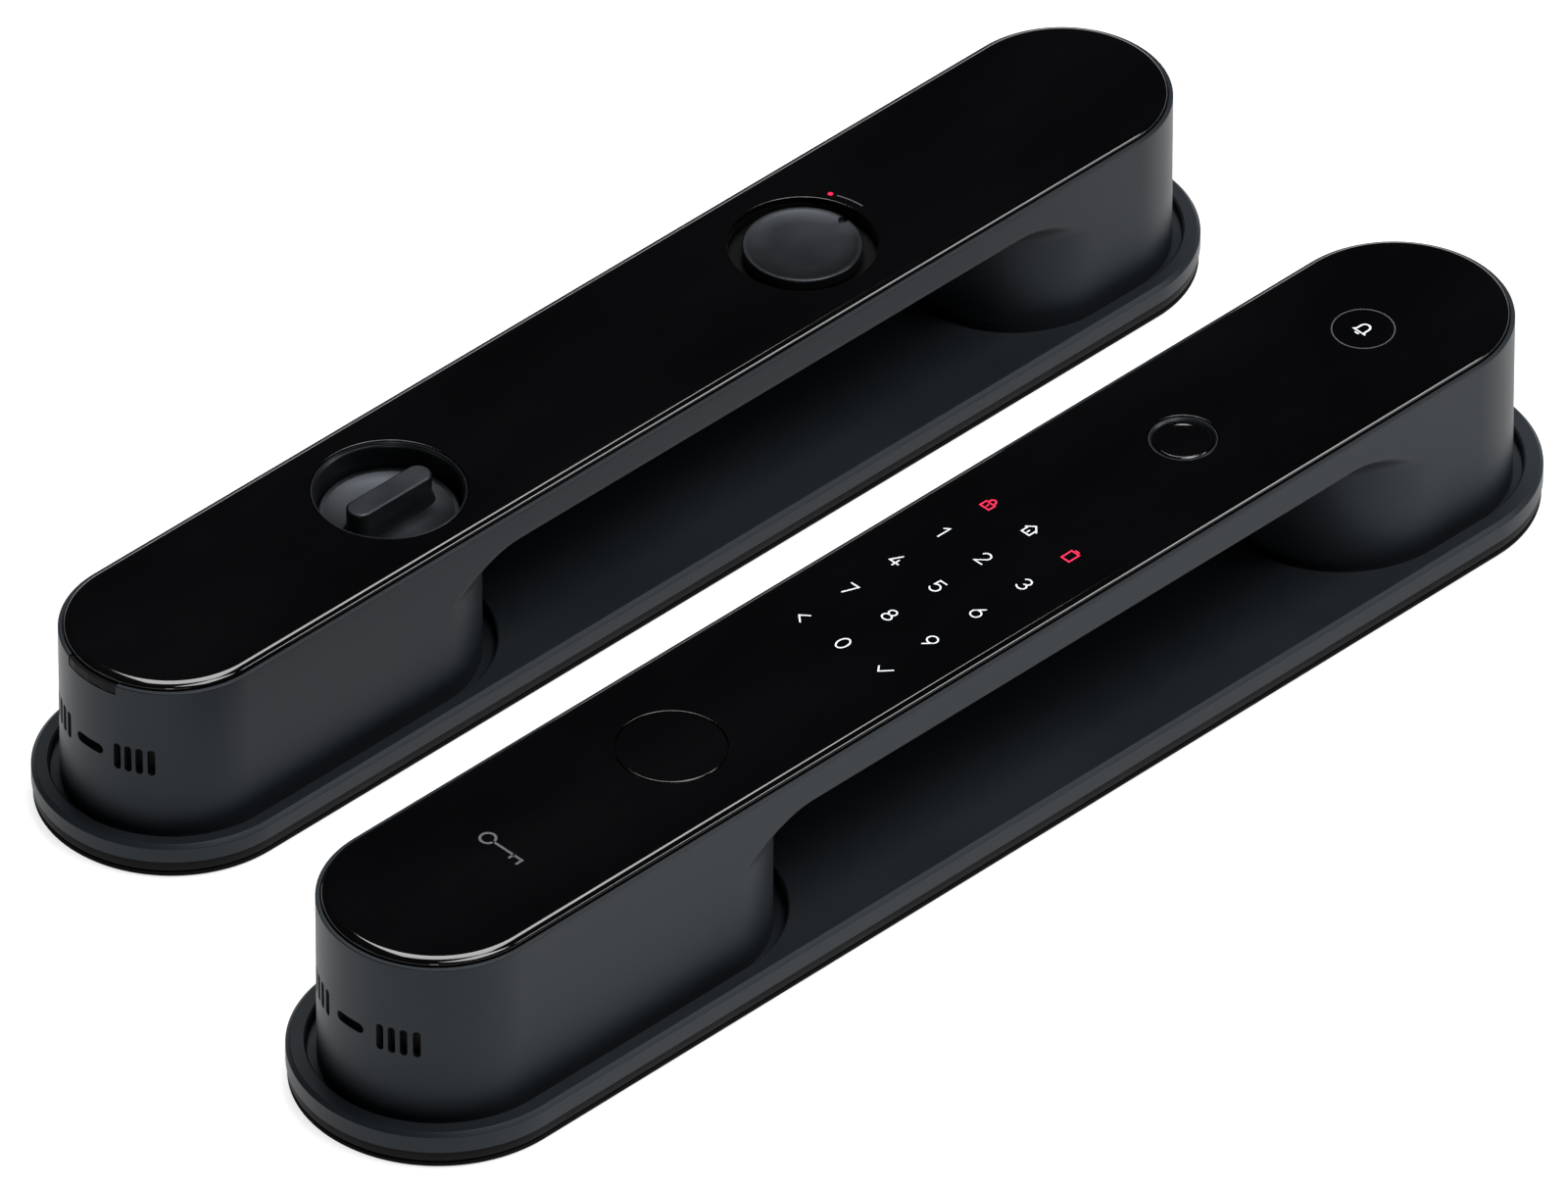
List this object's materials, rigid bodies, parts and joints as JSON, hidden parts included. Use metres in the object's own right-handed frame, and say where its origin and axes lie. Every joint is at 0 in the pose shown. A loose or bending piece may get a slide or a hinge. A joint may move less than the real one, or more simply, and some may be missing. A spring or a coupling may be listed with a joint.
{
  "type": "keypad smart lock",
  "caption": "Push-pull door lock set: long racetrack keypad unit with bridge handle and matching inner unit with thumb-turn and privacy knob.",
  "frame": {"origin": "centre of the footprint of both units, on the plane of their backs (the door faces)", "axes": "+Y along the units towards their upper end, +Z away from the door through the glass, +X from the inner unit to the keypad unit"},
  "size_m": [0.2002, 0.4134, 0.0579],
  "materials": {
    "anodised": "dark grey satin anodised",
    "black_glass": "polished black",
    "black_plastic": "fine matte moulded",
    "rubber": "matte",
    "dark_metal": "dark satin anodised",
    "steel": "plain zinc plated",
    "brass": "machined",
    "circuit_board": "solder mask",
    "pale_plastic": "moulded",
    "battery_wrap": "shrink wrap"
  },
  "bodies": {
    "outer_unit": {"outer_back_plate": "anodised", "outer_handle": "anodised", "outer_glass": "black_glass", "fingerprint_sensor": "black_glass", "outer_base": "black_plastic", "outer_bezel": "black_plastic", "key_well": "black_plastic", "outer_vent_screen": "black_plastic", "speaker": "black_plastic", "tamper_switch": "black_plastic", "outer_gasket": "rubber", "fingerprint_ring": "dark_metal", "outer_handle_screw_1": "steel", "outer_handle_screw_2": "steel", "outer_handle_screw_3": "steel", "outer_charging_port": "steel", "mounting_post_1": "steel", "mounting_post_2": "steel", "tamper_spring": "steel", "key_cylinder": "brass", "card_antenna": "brass", "outer_main_board": "circuit_board", "touch_board": "circuit_board", "keypad_light_guide": "pale_plastic", "outer_cable_socket": "pale_plastic"},
    "inner_unit": {"inner_gasket": "rubber", "inner_base": "black_plastic", "inner_back_plate": "anodised", "inner_handle": "anodised", "inner_handle_screw_1": "steel", "inner_handle_screw_2": "steel", "inner_handle_screw_3": "steel", "inner_charging_port": "steel", "inner_vent_screen": "black_plastic", "inner_main_board": "circuit_board", "inner_cable_socket": "pale_plastic", "mounting_plate": "steel", "shaft_bushing": "brass", "turn_bracket": "steel", "sensor_board": "circuit_board", "rotary_switch": "black_plastic", "inner_chassis": "black_plastic", "battery_pack": "battery_wrap", "battery_contacts": "brass", "button_switch": "steel", "control_board": "circuit_board"},
    "key_cover": {"key_cover": "black_glass", "cover_magnet": "steel"},
    "key_plug": {"key_plug": "brass", "cylinder_tailpiece": "steel"},
    "tamper_plunger": {"tamper_plunger": "black_plastic"},
    "battery_cover": {"cover_glass": "black_glass", "cover_frame": "black_plastic", "thumb_ring": "dark_metal"},
    "thumb_turn": {"thumb_turn": "dark_metal", "thumb_shaft": "steel", "turn_gear": "pale_plastic"},
    "sensor_gear": {"sensor_gear": "pale_plastic"},
    "privacy_knob": {"privacy_knob": "dark_metal"},
    "pairing_button": {"pairing_button": "pale_plastic"}
  },
  "joints": [
    {"name": "inner_unit_lift", "type": "slide", "parent": "outer_unit", "child": "inner_unit", "axis": [0, 0, 1], "range_m": [0, 0.08]},
    {"name": "key_cover_lift", "type": "slide", "parent": "outer_unit", "child": "key_cover", "axis": [0, 0, 1], "range_m": [0, 0.02]},
    {"name": "key_plug_turn", "type": "hinge", "parent": "outer_unit", "child": "key_plug", "pos_m": [0.0621, -0.08875, 0.03], "axis": [0, 0, 1], "range_deg": [0, 90]},
    {"name": "tamper_press", "type": "slide", "parent": "outer_unit", "child": "tamper_plunger", "axis": [0, 0, 1], "range_m": [0, 0.002], "stiffness_N_per_m": 300, "springref_m": -0.002, "deforming": ["tamper_spring"]},
    {"name": "battery_cover_lift", "type": "slide", "parent": "inner_unit", "child": "battery_cover", "axis": [0, 0, 1], "range_m": [0, 0.04]},
    {"name": "thumb_turn_turn", "type": "hinge", "parent": "inner_unit", "child": "thumb_turn", "pos_m": [-0.0646, -0.06495, 0.03], "axis": [0, 0, 1], "range_deg": [0, 90]},
    {"name": "sensor_gear_turn", "type": "hinge", "parent": "inner_unit", "child": "sensor_gear", "pos_m": [-0.0646, -0.08595, 0.03], "axis": [0, 0, 1], "range_deg": [-180, 0]},
    {"name": "privacy_knob_turn", "type": "hinge", "parent": "inner_unit", "child": "privacy_knob", "pos_m": [-0.0646, 0.07915, 0.052], "axis": [0, 0, 1], "range_deg": [0, 27]},
    {"name": "pairing_button_press", "type": "slide", "parent": "inner_unit", "child": "pairing_button", "axis": [0, 0, -1], "range_m": [0, 0.0008], "stiffness_N_per_m": 400}
  ],
  "couplings": [
    {"joint": "sensor_gear_turn", "follows": "thumb_turn_turn", "ratio": -2}
  ]
}
